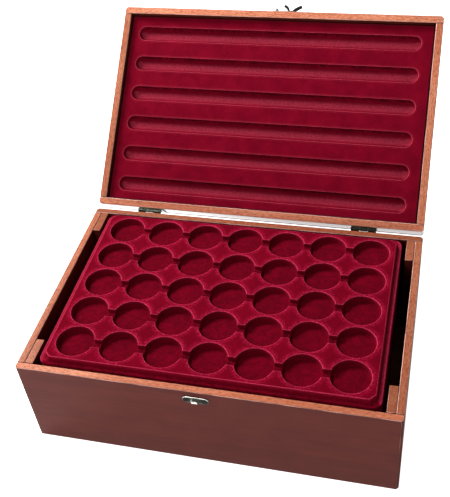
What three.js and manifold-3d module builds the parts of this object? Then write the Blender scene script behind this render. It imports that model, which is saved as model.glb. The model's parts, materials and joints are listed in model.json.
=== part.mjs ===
// Hinged wooden coin case that holds a stack of ten flocked coin trays.
// Millimetres, +Z up, +X to the right and +Y to the back. The origin is the centre of the base.
import * as THREE from "three";
import { mergeVertices } from "three/addons/utils/BufferGeometryUtils.js";
import Module from "manifold-3d";

const wasm = await Module();
wasm.setup();

// Case body.
const CASE_WIDTH = 325;
const CASE_DEPTH = 210.8;
const CASE_HEIGHT = 95.4;
const WALL = 6.6;
const BOTTOM_THICKNESS = 5.6;
const CORNER_ROUND = 1.4;
const BLOCK_THICKNESS = 7.6;
const BLOCK_LENGTH = 27;
const GLUE_LINE = 0.1;

// Lid, described as it lies when closed.
const LID_HEIGHT = 27;
const LID_RAIL = 7;
const LID_PANEL = 5;
const LID_CLEARANCE = 0.3;
const LID_OPEN_DEGREES = 140;
const INSERT_RECESS = 5.4;
const INSERT_MARGIN = 0.6;
const GROOVE_COUNT = 6;
const GROOVE_PITCH = 32;
const GROOVE_LENGTH = 289;
const GROOVE_WIDTH = 14.4;
const GROOVE_DEPTH = 5;
const GROOVE_SHIFT = [-1, 1.2];

// Coin trays.
const TRAY_COUNT = 10;
const TRAY_PITCH = 9.5;
const TRAY_HEIGHT = 9.4;
const TRAY_WIDTH = 288.8;
const TRAY_DEPTH = 193.6;
const TRAY_BACK_SHIFT = -0.7;
const TRAY_ROUND = 8;
const SKIRT_HEIGHT = 5;
const FLANGE = 4.8;
const CORNER_CLIP = 5;
const COIN_COLUMNS = 7;
const COIN_ROWS = 5;
const COLUMN_PITCH = 39.3;
const ROW_PITCH = 36;
const COIN_DIAMETER = 33.3;
const COIN_DEPTH = 6.4;
const NOTCH_WIDTH = 8.4;
const NOTCH_DEPTH = 3.6;

// Hinges.
const HINGE_X = 107;
const HINGE_WIDTH = 24;
const LEAF_HEIGHT = 17;
const LEAF_THICKNESS = 1;
const PIN_RADIUS = 0.85;
const PIN_SETBACK = 2.6;
const BARREL_RADIUS = 1.9;
const RUNNING_GAP = 0.3;
const KNUCKLE_COUNT = 3;
const LEAF_SCREW_X = 7;
const LEAF_SCREW_Z = 10;

// Catch on the case and latch on the lid.
const LATCH_X = -3.4;
const PLATE_LENGTH = 22.6;
const PLATE_WIDTH = 7.6;
const PLATE_THICKNESS = 0.9;
const PLATE_SCREW_X = 7.9;
const CATCH_DROP = 9.5;
const CATCH_ABOVE_PLATE = 1.5;
const CATCH_OUT = 3.7;
const CATCH_THICKNESS = 0.8;
const CATCH_WIDTH = 2;
const LATCH_RISE = 6.9;
const HOOK_LIFT = 0.8;
const HOOK_THICKNESS = 1.4;
const HOOK_WIDTH = 3.4;
const HOOK_EYE_RADIUS = 3.3;
const HOOK_SEAT = [14, 16.3];
const HOOK_HEEL_X = 18.4;
const FINGER_TIP = [8.6, 9];
const FINGER_BACK = [11.4, 5.8];
const FINGER_FRONT = [12.6, 6.2];
const KNOB_PLACE = [24.6, 7.3];
const KNOB_RADIUS = 1.8;
const RIVET_RADIUS = 1;
const RIVET_HEAD_RADIUS = 2.2;
const RIVET_HEAD_HEIGHT = 1.8;

// Screws.
const SCREW_HEAD_RADIUS = 2;
const SCREW_HEAD_HEIGHT = 0.9;
const FLUSH_HEAD_HEIGHT = 0.4;
const SCREW_SHANK_RADIUS = 0.8;
const SCREW_LENGTH = 5;
const SCREW_HOLE_RADIUS = 1.05;
const SCREW_HOLE_DEPTH = 5.3;
const SCREW_SLOT = 0.5;

// Derived places.
const LID_RIM = CASE_HEIGHT + LID_CLEARANCE;
const FRONT = -CASE_DEPTH / 2;
const BACK = CASE_DEPTH / 2;
const PIN_Y = BACK + PIN_SETBACK;
const PIN_Z = CASE_HEIGHT + LID_CLEARANCE / 2;
const ROUND_SEGMENTS = 16;

const wood = new THREE.MeshStandardMaterial({ color: 0x6a2c22, roughness: 0.35 });
const lining = new THREE.MeshStandardMaterial({ color: 0x8c0a26, roughness: 0.95 });
const flock = new THREE.MeshStandardMaterial({ color: 0x96082a, roughness: 0.95 });
const metal = new THREE.MeshStandardMaterial({ color: 0x4d4f4a, roughness: 0.35, metalness: 0.9 });

// A three.js geometry as a solid for joining and cutting.
function solid(geometry) {
  const bare = geometry.clone();
  bare.deleteAttribute("normal");
  bare.deleteAttribute("uv");
  const merged = mergeVertices(bare, 1e-4);
  return new wasm.Manifold(
    new wasm.Mesh({
      numProp: 3,
      vertProperties: merged.attributes.position.array,
      triVerts: new Uint32Array(merged.index.array),
    }),
  );
}

// A solid back as a named mesh.
function meshOf(name, shape, material) {
  const data = shape.getMesh();
  const geometry = new THREE.BufferGeometry();
  geometry.setAttribute("position", new THREE.BufferAttribute(data.vertProperties, 3));
  geometry.setIndex(new THREE.BufferAttribute(data.triVerts, 1));
  geometry.computeVertexNormals();
  const mesh = new THREE.Mesh(geometry, material);
  mesh.name = name;
  return mesh;
}

// A box given by its lowest and highest corners.
function box(low, high) {
  const size = high.map((value, i) => value - low[i]);
  const middle = high.map((value, i) => (value + low[i]) / 2);
  return solid(new THREE.BoxGeometry(...size).translate(...middle));
}

// A cylinder from one point along +Z, +Y or -Y.
function rod(radius, length, from, along = "z", segments = ROUND_SEGMENTS) {
  const geometry = new THREE.CylinderGeometry(radius, radius, length, segments);
  geometry.translate(0, length / 2, 0);
  if (along === "z") geometry.rotateX(Math.PI / 2);
  if (along === "-y") geometry.rotateX(Math.PI);
  return solid(geometry.translate(...from));
}

// A cylinder centred on a point, along X.
function crossRod(radius, length, centre, segments = ROUND_SEGMENTS) {
  const geometry = new THREE.CylinderGeometry(radius, radius, length, segments);
  return solid(geometry.rotateZ(Math.PI / 2).translate(...centre));
}

// An outline raised to a height, from z = 0 up.
function raised(outline, height, segments) {
  const options = { depth: height, bevelEnabled: false, curveSegments: segments };
  return new THREE.ExtrudeGeometry(outline, options);
}

// A rectangle about the origin; corners lists the rounding of each corner, anticlockwise from -X -Y.
function roundedRectangle(width, depth, corners) {
  const [x, y] = [width / 2, depth / 2];
  const [a, b, c, d] = corners;
  const outline = new THREE.Shape();
  outline.moveTo(-x + a, -y).lineTo(x - b, -y);
  if (b) outline.absarc(x - b, -y + b, b, -Math.PI / 2, 0);
  outline.lineTo(x, y - c);
  if (c) outline.absarc(x - c, y - c, c, 0, Math.PI / 2);
  outline.lineTo(-x + d, y);
  if (d) outline.absarc(-x + d, y - d, d, Math.PI / 2, Math.PI);
  outline.lineTo(-x, -y + a);
  if (a) outline.absarc(-x + a, -y + a, a, Math.PI, 1.5 * Math.PI);
  return outline;
}

// A strip with round ends, along X.
function stadium(length, width) {
  const radius = width / 2;
  return roundedRectangle(length, width, [radius, radius, radius, radius]);
}

// A wall or rail along X whose two outer corners are rounded; side is -1 in front and 1 at the back.
function longBoard(width, thickness, height, side, y, z) {
  const r = CORNER_ROUND;
  const corners = side < 0 ? [r, r, 0, 0] : [0, 0, r, r];
  const outline = roundedRectangle(width, thickness, corners);
  return solid(raised(outline, height, 4).translate(0, y, z));
}

// The hole for a wood screw, running in from a front or back face at y.
function screwHole(x, y, z, facing) {
  const along = facing < 0 ? "y" : "-y";
  const start = y + facing * (PLATE_THICKNESS + RUNNING_GAP);
  const length = SCREW_HOLE_DEPTH + PLATE_THICKNESS + RUNNING_GAP;
  return rod(SCREW_HOLE_RADIUS, length, [x, start, z], along, 8);
}

// A slotted screw that holds a plate to a front (-1) or back (1) face at y.
function screw(name, [x, y, z], facing, plate, headHeight) {
  const seat = y + facing * (plate + 0.02);
  const outwards = facing < 0 ? "-y" : "y";
  const inwards = facing < 0 ? "y" : "-y";
  const head = rod(SCREW_HEAD_RADIUS, headHeight, [x, seat, z], outwards, 12);
  const shank = rod(SCREW_SHANK_RADIUS, SCREW_LENGTH, [x, seat + facing * 0.2, z], inwards, 8);
  const top = seat + facing * headHeight;
  const slotDepth = headHeight / 2;
  const slot = box(
    [x - SCREW_HEAD_RADIUS, top - slotDepth, z - SCREW_SLOT / 2],
    [x + SCREW_HEAD_RADIUS, top + slotDepth, z + SCREW_SLOT / 2],
  );
  return meshOf(name, head.add(shank).subtract(slot), metal);
}

// Where the four screws of each pair of hinge leaves and the two of each plate sit.
const leafScrews = (side) => [-1, 1].map((end) => side * HINGE_X + end * LEAF_SCREW_X);
const plateScrews = [-1, 1].map((end) => LATCH_X + end * PLATE_SCREW_X);

// Case body: four walls round a bottom panel, with a block glued in each corner.
function caseBody() {
  const group = new THREE.Group();
  const catchZ = CASE_HEIGHT - CATCH_DROP;
  let front = longBoard(CASE_WIDTH, WALL, CASE_HEIGHT, -1, FRONT + WALL / 2, 0);
  for (const x of plateScrews) front = front.subtract(screwHole(x, FRONT, catchZ, -1));
  let back = longBoard(CASE_WIDTH, WALL, CASE_HEIGHT, 1, BACK - WALL / 2, 0);
  for (const side of [-1, 1])
    for (const x of leafScrews(side))
      back = back.subtract(screwHole(x, BACK, CASE_HEIGHT - LEAF_SCREW_Z, 1));
  group.add(meshOf("front_wall", front, wood), meshOf("back_wall", back, wood));

  const endY = BACK - WALL - GLUE_LINE;
  const innerX = CASE_WIDTH / 2 - WALL;
  for (const [word, side] of [["left", -1], ["right", 1]]) {
    const [near, far] = [side * innerX, (side * CASE_WIDTH) / 2];
    const wall = box(
      [Math.min(near, far), -endY, 0],
      [Math.max(near, far), endY, CASE_HEIGHT],
    );
    group.add(meshOf(word + "_wall", wall, wood));
    const blockFar = side * (innerX - GLUE_LINE);
    const blockNear = blockFar - side * BLOCK_THICKNESS;
    for (const [place, end] of [["front", -1], ["rear", 1]]) {
      const [outer, inner] = [end * endY, end * (endY - BLOCK_LENGTH)];
      const block = box(
        [Math.min(blockNear, blockFar), Math.min(outer, inner), BOTTOM_THICKNESS + GLUE_LINE],
        [Math.max(blockNear, blockFar), Math.max(outer, inner), CASE_HEIGHT],
      );
      group.add(meshOf(`corner_block_${place}_${word}`, block, wood));
    }
  }
  const panelX = innerX - GLUE_LINE;
  const bottom = box([-panelX, -endY, 0], [panelX, endY, BOTTOM_THICKNESS]);
  group.add(meshOf("bottom_panel", bottom, wood));
  return group;
}

// One coin tray: a flanged plateau with a grid of round recesses joined by finger notches.
function coinTray(name, level, segments, notched) {
  const base = BOTTOM_THICKNESS + RUNNING_GAP + level * TRAY_PITCH;
  const corner = [TRAY_ROUND, TRAY_ROUND, TRAY_ROUND, TRAY_ROUND];
  const skirt = roundedRectangle(TRAY_WIDTH, TRAY_DEPTH, corner);
  const [x, y] = [TRAY_WIDTH / 2 - FLANGE, TRAY_DEPTH / 2 - FLANGE];
  const clip = CORNER_CLIP;
  const plateau = new THREE.Shape();
  plateau.moveTo(-x + clip, -y).lineTo(x - clip, -y).lineTo(x, -y + clip).lineTo(x, y - clip);
  plateau.lineTo(x - clip, y).lineTo(-x + clip, y).lineTo(-x, y - clip).lineTo(-x, -y + clip);
  let tray = solid(raised(skirt, SKIRT_HEIGHT, 4)).add(solid(raised(plateau, TRAY_HEIGHT, 1)));

  const floor = TRAY_HEIGHT - COIN_DEPTH;
  const recesses = [];
  for (let row = 0; row < COIN_ROWS; row += 1) {
    const rowY = (row - (COIN_ROWS - 1) / 2) * ROW_PITCH;
    for (let column = 0; column < COIN_COLUMNS; column += 1) {
      const columnX = (column - (COIN_COLUMNS - 1) / 2) * COLUMN_PITCH;
      recesses.push(rod(COIN_DIAMETER / 2, TRAY_HEIGHT, [columnX, rowY, floor], "z", segments));
      if (!notched || column === COIN_COLUMNS - 1) continue;
      const middle = columnX + COLUMN_PITCH / 2;
      const half = COLUMN_PITCH / 2 - COIN_DIAMETER / 2 + 1;
      recesses.push(
        box(
          [middle - half, rowY - NOTCH_WIDTH / 2, TRAY_HEIGHT - NOTCH_DEPTH],
          [middle + half, rowY + NOTCH_WIDTH / 2, TRAY_HEIGHT + 1],
        ),
      );
    }
  }
  tray = tray.subtract(wasm.Manifold.union(recesses));
  const mesh = meshOf(name, tray, flock);
  mesh.position.set(0, TRAY_BACK_SHIFT, base);
  return mesh;
}

// Lid boards and the grooved flocked insert, in the closed position.
function lidBoards() {
  const group = new THREE.Group();
  const railHeight = LID_HEIGHT - LID_PANEL - GLUE_LINE;
  let front = longBoard(CASE_WIDTH, LID_RAIL, railHeight, -1, FRONT + LID_RAIL / 2, LID_RIM);
  for (const x of plateScrews)
    front = front.subtract(screwHole(x, FRONT, LID_RIM + LATCH_RISE, -1));
  let back = longBoard(CASE_WIDTH, LID_RAIL, railHeight, 1, BACK - LID_RAIL / 2, LID_RIM);
  for (const side of [-1, 1])
    for (const x of leafScrews(side))
      back = back.subtract(screwHole(x, BACK, LID_RIM + LEAF_SCREW_Z, 1));
  group.add(meshOf("lid_front_rail", front, wood), meshOf("lid_back_rail", back, wood));

  const endY = BACK - LID_RAIL - GLUE_LINE;
  const innerX = CASE_WIDTH / 2 - LID_RAIL;
  const railTop = LID_RIM + railHeight;
  for (const [word, side] of [["left", -1], ["right", 1]]) {
    const [near, far] = [side * innerX, (side * CASE_WIDTH) / 2];
    const rail = box(
      [Math.min(near, far), -endY, LID_RIM],
      [Math.max(near, far), endY, railTop],
    );
    group.add(meshOf(`lid_${word}_rail`, rail, wood));
  }
  const corner = [CORNER_ROUND, CORNER_ROUND, CORNER_ROUND, CORNER_ROUND];
  const panel = raised(roundedRectangle(CASE_WIDTH, CASE_DEPTH, corner), LID_PANEL, 4);
  panel.translate(0, 0, LID_RIM + LID_HEIGHT - LID_PANEL);
  group.add(meshOf("lid_panel", solid(panel), wood));

  const face = LID_RIM + INSERT_RECESS;
  const [x, y] = [innerX - INSERT_MARGIN, endY - INSERT_MARGIN];
  let insert = box([-x, -y, face], [x, y, railTop - GLUE_LINE]);
  for (let i = 0; i < GROOVE_COUNT; i += 1) {
    const grooveY = (i - (GROOVE_COUNT - 1) / 2) * GROOVE_PITCH + GROOVE_SHIFT[1];
    const groove = raised(stadium(GROOVE_LENGTH, GROOVE_WIDTH), GROOVE_DEPTH + 1, 4);
    insert = insert.subtract(solid(groove.translate(GROOVE_SHIFT[0], grooveY, face - 1)));
  }
  group.add(meshOf("lid_insert", insert, lining));
  return group;
}

// One hinge leaf in the closed position: a plate on the back face with its share of the knuckles.
function hingeLeaf(name, x, up, knuckles) {
  const side = up ? 1 : -1;
  const edge = PIN_Z + side * 0.9;
  const far = edge + side * LEAF_HEIGHT;
  let leaf = box(
    [x - HINGE_WIDTH / 2, BACK + 0.02, Math.min(edge, far)],
    [x + HINGE_WIDTH / 2, BACK + LEAF_THICKNESS, Math.max(edge, far)],
  );
  const pitch = HINGE_WIDTH / KNUCKLE_COUNT;
  for (let i = 0; i < KNUCKLE_COUNT; i += 1) {
    const centreX = x + (i - (KNUCKLE_COUNT - 1) / 2) * pitch;
    if (knuckles.includes(i)) {
      const barrel = crossRod(BARREL_RADIUS, pitch - RUNNING_GAP, [centreX, PIN_Y, PIN_Z]);
      leaf = leaf.add(barrel);
    } else {
      const reach = BARREL_RADIUS + RUNNING_GAP;
      leaf = leaf.subtract(crossRod(reach, pitch + RUNNING_GAP, [centreX, PIN_Y, PIN_Z]));
    }
  }
  const bore = crossRod(PIN_RADIUS + RUNNING_GAP, HINGE_WIDTH + 2, [x, PIN_Y, PIN_Z], 12);
  leaf = leaf.subtract(bore);
  const holeZ = up ? LID_RIM + LEAF_SCREW_Z : CASE_HEIGHT - LEAF_SCREW_Z;
  for (const end of [-1, 1])
    leaf = leaf.subtract(screwHole(x + end * LEAF_SCREW_X, BACK, holeZ, 1));
  return meshOf(name, leaf, metal);
}

// A thin plate with round ends and two screw holes on a front face at y, centred at height z.
function latchPlate(z, hole) {
  const plate = raised(stadium(PLATE_LENGTH, PLATE_WIDTH), PLATE_THICKNESS - 0.02, 6);
  plate.rotateX(Math.PI / 2).translate(LATCH_X, FRONT - 0.02, z);
  let shape = solid(plate);
  for (const x of plateScrews) shape = shape.subtract(screwHole(x, FRONT, z, -1));
  return hole ? shape.subtract(hole) : shape;
}

// The catch's bent tab: it stands out from the plate on the left and reaches over to the right,
// with room for the hook beneath.
function catchTab(z) {
  const thickness = CATCH_THICKNESS;
  const [rootX, tipX, lip] = [-2.4, 2.4, 0.6];
  const [foot, out] = [PLATE_THICKNESS + 0.02, CATCH_OUT];
  const tab = new THREE.Shape();
  tab.moveTo(rootX - thickness, foot).lineTo(rootX, foot);
  tab.lineTo(rootX, out - 1).quadraticCurveTo(rootX, out, rootX + 1, out);
  tab.lineTo(tipX, out).lineTo(tipX + lip, out + lip);
  tab.lineTo(tipX, out + lip + thickness).lineTo(tipX - lip, out + thickness);
  tab.lineTo(rootX + 1, out + thickness);
  tab.quadraticCurveTo(rootX - thickness, out + thickness, rootX - thickness, out - 1);
  const geometry = raised(tab, CATCH_WIDTH, 4).rotateX(Math.PI);
  geometry.translate(LATCH_X, FRONT, z + CATCH_WIDTH / 2);
  return solid(geometry);
}

// The swing hook, built about its pivot and lying along +X, with -Y outwards from the lid. The
// strip runs flat over the plate, throws up a finger tab, dips to the seat that goes under the
// catch, and ramps up to a round knob.
function swingHook() {
  const inner = PLATE_THICKNESS + HOOK_LIFT;
  const outer = inner + HOOK_THICKNESS;
  const [tipX, tipOut] = FINGER_TIP;
  const [knobX, knobOut] = KNOB_PLACE;
  const [seatFrom, seatTo] = HOOK_SEAT;
  const [backX, backOut] = FINGER_BACK;
  const side = new THREE.Shape();
  side.moveTo(0, inner).lineTo(HOOK_HEEL_X, inner);
  side.quadraticCurveTo(HOOK_HEEL_X + 0.8, inner, HOOK_HEEL_X + 1.4, inner + 0.6);
  side.lineTo(knobX - 0.3, knobOut - 1.2).lineTo(knobX - 1.3, knobOut + 0.5);
  side.lineTo(seatTo, outer).lineTo(seatFrom, outer);
  side.quadraticCurveTo(...FINGER_FRONT, tipX, tipOut);
  side.lineTo(tipX - 0.8, tipOut - 1.2).quadraticCurveTo(backX, backOut, backX, outer);
  side.lineTo(0, outer);
  const ribbon = raised(side, HOOK_WIDTH, 5);
  ribbon.rotateX(Math.PI).translate(0, 0, HOOK_WIDTH / 2);
  const eye = rod(HOOK_EYE_RADIUS, HOOK_THICKNESS, [0, -inner, 0], "-y", 20);
  const bore = rod(RIVET_RADIUS + RUNNING_GAP, 6, [0, 0, 0], "-y", 12);
  const knob = new THREE.SphereGeometry(KNOB_RADIUS, 14, 10);
  knob.translate(knobX, -knobOut, 0);
  return solid(ribbon).add(eye).subtract(bore).add(solid(knob));
}

// The rivet that the hook turns on, about the hook's pivot.
function rivet() {
  const headFrom = PLATE_THICKNESS + HOOK_LIFT + HOOK_THICKNESS + RUNNING_GAP;
  const head = new THREE.SphereGeometry(RIVET_HEAD_RADIUS, 16, 10);
  head.scale(1, RIVET_HEAD_HEIGHT / RIVET_HEAD_RADIUS, 1).translate(0, -headFrom, 0);
  const halfSpace = box([-5, -headFrom, -5], [5, 5, 5]);
  const shank = rod(RIVET_RADIUS, headFrom + 0.1, [0, -0.2, 0], "-y", 12);
  return solid(head).subtract(halfSpace).add(shank);
}

const root = new THREE.Group();
root.add(caseBody());
for (let level = 0; level < TRAY_COUNT; level += 1) {
  const top = level === TRAY_COUNT - 1;
  const number = String(level + 1).padStart(2, "0");
  root.add(coinTray(`coin_tray_${number}`, level, top ? 16 : 8, top));
}

// The lid turns about the hinge pins.
const lidSwing = new THREE.Group();
lidSwing.position.set(0, PIN_Y, PIN_Z);
lidSwing.rotation.x = -THREE.MathUtils.degToRad(LID_OPEN_DEGREES);
const lid = new THREE.Group();
lid.position.set(0, -PIN_Y, -PIN_Z);
lidSwing.add(lid);
root.add(lidSwing);
lid.add(lidBoards());

for (const [word, side] of [["left", -1], ["right", 1]]) {
  const x = side * HINGE_X;
  root.add(hingeLeaf(`hinge_leaf_case_${word}`, x, false, [0, 2]));
  lid.add(hingeLeaf(`hinge_leaf_lid_${word}`, x, true, [1]));
  const pin = crossRod(PIN_RADIUS, HINGE_WIDTH + 0.6, [x, PIN_Y, PIN_Z], 12);
  root.add(meshOf(`hinge_pin_${word}`, pin, metal));
  for (const screwX of leafScrews(side)) {
    const name = `${word}_${Math.abs(screwX) > HINGE_X ? "outer" : "inner"}`;
    const low = [screwX, BACK, CASE_HEIGHT - LEAF_SCREW_Z];
    const high = [screwX, BACK, LID_RIM + LEAF_SCREW_Z];
    root.add(screw(`hinge_screw_case_${name}`, low, 1, LEAF_THICKNESS, SCREW_HEAD_HEIGHT));
    lid.add(screw(`hinge_screw_lid_${name}`, high, 1, LEAF_THICKNESS, SCREW_HEAD_HEIGHT));
  }
}

const catchZ = CASE_HEIGHT - CATCH_DROP;
const latchZ = LID_RIM + LATCH_RISE;
root.add(meshOf("catch_plate", latchPlate(catchZ), metal));
root.add(meshOf("catch_tab", catchTab(catchZ + CATCH_ABOVE_PLATE), metal));
const rivetHole = rod(RIVET_RADIUS + RUNNING_GAP, 4, [LATCH_X, FRONT + 1, latchZ], "-y", 12);
lid.add(meshOf("latch_plate", latchPlate(latchZ, rivetHole), metal));
for (const x of plateScrews) {
  const word = x < LATCH_X ? "left" : "right";
  const [low, high] = [[x, FRONT, catchZ], [x, FRONT, latchZ]];
  root.add(screw(`catch_screw_${word}`, low, -1, PLATE_THICKNESS, FLUSH_HEAD_HEIGHT));
  lid.add(screw(`latch_screw_${word}`, high, -1, PLATE_THICKNESS, FLUSH_HEAD_HEIGHT));
}

const latchPivot = new THREE.Group();
latchPivot.position.set(LATCH_X, FRONT, latchZ);
latchPivot.add(meshOf("latch_hook", swingHook(), metal), meshOf("latch_rivet", rivet(), metal));
lid.add(latchPivot);

export default root;
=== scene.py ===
import json
import math

import bmesh
import bpy
import numpy as np
from mathutils import Matrix, Vector
from mathutils.geometry import delaunay_2d_cdt


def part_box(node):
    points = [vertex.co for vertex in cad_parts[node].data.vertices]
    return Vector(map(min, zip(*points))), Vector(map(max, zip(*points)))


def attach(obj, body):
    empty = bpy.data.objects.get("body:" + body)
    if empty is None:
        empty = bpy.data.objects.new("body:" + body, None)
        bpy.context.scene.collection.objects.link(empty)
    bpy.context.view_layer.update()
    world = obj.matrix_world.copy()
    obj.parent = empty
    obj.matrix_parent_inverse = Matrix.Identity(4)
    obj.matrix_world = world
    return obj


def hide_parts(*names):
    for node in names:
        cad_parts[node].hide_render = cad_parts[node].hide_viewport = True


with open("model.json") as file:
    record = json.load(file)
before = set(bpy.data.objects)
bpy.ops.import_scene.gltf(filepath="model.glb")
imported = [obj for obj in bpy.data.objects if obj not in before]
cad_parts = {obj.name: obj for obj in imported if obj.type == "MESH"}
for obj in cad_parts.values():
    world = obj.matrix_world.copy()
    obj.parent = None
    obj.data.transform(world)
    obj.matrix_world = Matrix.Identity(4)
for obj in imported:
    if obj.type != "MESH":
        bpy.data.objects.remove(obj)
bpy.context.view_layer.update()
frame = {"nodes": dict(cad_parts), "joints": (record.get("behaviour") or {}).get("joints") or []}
scene = bpy.context.scene

# ---------------------------------------------------------------------------------------------
# Measures. Lengths are in millimetres unless a name says otherwise; meshes are scaled once.
# ---------------------------------------------------------------------------------------------
MM = 0.001
LID_OPEN = math.radians(140)

# Coin trays, about the centre of a tray's base
TRAY_HALF = (144.4, 96.8)
PLATEAU_HALF = (139.6, 92.0)
TRAY_HEIGHT = 9.4
FLANGE_Z = 5.0
RECESS_PITCH = (39.3, 36.0)
COLUMNS, ROWS = 7, 5
RECESS_RADIUS = 16.65
RECESS_DEPTH = 6.4
NOTCH_HALF = 4.1
NOTCH_DEPTH = 3.6
RECESS_LIP, RECESS_FOOT, RECESS_DRAFT = 0.75, 1.3, 0.5
NOTCH_LIP, NOTCH_FOOT, NOTCH_DRAFT = 0.6, 0.9, 0.35
FIELD_MARGIN = (17.56, 17.56)
PLATEAU_LIP = 0.7
PLATEAU_CLIP = 5
WALL_FOOT = 1.0
WALL_DRAFT = 1.1
BRIM = 0.7
FLANGE_CORNER = 8
TRAY_COUNT = 10
CORNER_POINTS = 4

# Lid insert, about the middle of its face
INSERT_FACE_Z = 101.1
INSERT_THICK = 16.4
GROOVE_SHIFT = (-1.0, -1.2)
GROOVE_COUNT = 6
GROOVE_PITCH = 32
GROOVE_HALF_LENGTH = 144.5
GROOVE_HALF_WIDTH = 7.2
GROOVE_DEPTH = 5
INSERT_LIP = 1.3
INSERT_CORNER = 1.8
INSERT_GAP = 0.3

# Latch, in the closed lid's coordinates
LATCH_X = -3.4
FRONT_Y = -105.4
LATCH_Z = 102.6
CATCH_TAB_Z = 87.4
CATCH_Z = 85.9
PLATE_HALF_LENGTH = 11.3
PLATE_HALF_WIDTH = 3.8
PLATE_THICK = 0.9
PLATE_SCREW_X = 7.9
COUNTERSINK = 0.4
SCREW_RADIUS = 2.0
FLUSH_HEAD, HINGE_HEAD = 0.4, 0.9


# ---------------------------------------------------------------------------------------------
# Node materials
# ---------------------------------------------------------------------------------------------
class Nodes:
    """A material's node tree, with short calls for the nodes used here."""

    def __init__(self, name):
        self.material = bpy.data.materials.new(name)
        self.material.use_nodes = True
        self.tree = self.material.node_tree
        self.tree.nodes.clear()
        self.out = self.tree.nodes.new("ShaderNodeOutputMaterial")
        self.shader = self.tree.nodes.new("ShaderNodeBsdfPrincipled")
        self.link(self.shader.outputs[0], self.out.inputs[0])
        self.coords = self.tree.nodes.new("ShaderNodeTexCoord")

    def link(self, a, b):
        self.tree.links.new(a, b)

    def set(self, **values):
        for name, value in values.items():
            self.shader.inputs[name.replace("_", " ")].default_value = value

    def feed(self, value, socket):
        if isinstance(value, bpy.types.NodeSocket):
            self.link(value, socket)
        else:
            socket.default_value = value

    def mapped(self, scale, shift=(0, 0, 0)):
        node = self.tree.nodes.new("ShaderNodeMapping")
        self.link(self.coords.outputs["Object"], node.inputs[0])
        node.inputs["Location"].default_value = shift
        node.inputs["Scale"].default_value = scale
        return node.outputs[0]

    def noise(self, vector, scale, detail=3, rough=0.55, bend=0.0):
        node = self.tree.nodes.new("ShaderNodeTexNoise")
        self.link(vector, node.inputs["Vector"])
        node.inputs["Scale"].default_value = scale
        node.inputs["Detail"].default_value = detail
        node.inputs["Roughness"].default_value = rough
        node.inputs["Distortion"].default_value = bend
        return node.outputs["Fac"]

    def ranged(self, value, low, high, to_low=0.0, to_high=1.0):
        node = self.tree.nodes.new("ShaderNodeMapRange")
        node.interpolation_type = "SMOOTHSTEP"
        self.link(value, node.inputs["Value"])
        for name, number in zip(
            ("From Min", "From Max", "To Min", "To Max"), (low, high, to_low, to_high)
        ):
            node.inputs[name].default_value = number
        return node.outputs[0]

    def math(self, kind, a, b):
        node = self.tree.nodes.new("ShaderNodeMath")
        node.operation = kind
        self.feed(a, node.inputs[0])
        self.feed(b, node.inputs[1])
        return node.outputs[0]

    def mix(self, share, a, b, blend="MIX"):
        node = self.tree.nodes.new("ShaderNodeMix")
        node.data_type = "RGBA"
        node.blend_type = blend
        self.feed(share, node.inputs[0])
        self.feed(a, node.inputs[6])
        self.feed(b, node.inputs[7])
        return node.outputs[2]

    def facing(self, direction):
        """1 where the surface faces the direction, in the piece's own coordinates."""
        node = self.tree.nodes.new("ShaderNodeVectorMath")
        node.operation = "DOT_PRODUCT"
        self.link(self.coords.outputs["Normal"], node.inputs[0])
        node.inputs[1].default_value = direction
        return node.outputs["Value"]

    def along(self, axis):
        """The distance along an axis in the piece's own coordinates, in metres."""
        node = self.tree.nodes.new("ShaderNodeVectorMath")
        node.operation = "DOT_PRODUCT"
        self.link(self.coords.outputs["Object"], node.inputs[0])
        node.inputs[1].default_value = axis
        return node.outputs["Value"]

    def from_nearest(self, axis, pitch, last):
        """The distance along an axis from the nearest line of a grid with last lines on each side."""
        place = self.math("DIVIDE", self.along(axis), pitch)
        line = self.math("MINIMUM", self.math("MAXIMUM", self.math("ROUND", place, 0), -last), last)
        return self.math("MULTIPLY", self.math("SUBTRACT", place, line), pitch)

    def attribute(self, name):
        node = self.tree.nodes.new("ShaderNodeAttribute")
        node.attribute_name = name
        return node.outputs["Fac"]

    def bump(self, height, distance, strength=1.0, under=None):
        node = self.tree.nodes.new("ShaderNodeBump")
        node.inputs["Strength"].default_value = strength
        node.inputs["Distance"].default_value = distance
        self.link(height, node.inputs["Height"])
        if under is not None:
            self.link(under, node.inputs["Normal"])
        return node.outputs[0]


def colour(r, g, b):
    """A colour given as an sRGB byte triple, in the linear values that shaders take."""
    values = [x / 255 for x in (r, g, b)]
    linear = [x / 12.92 if x <= 0.04045 else ((x + 0.055) / 1.055) ** 2.4 for x in values]
    return (*linear, 1.0)


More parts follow.
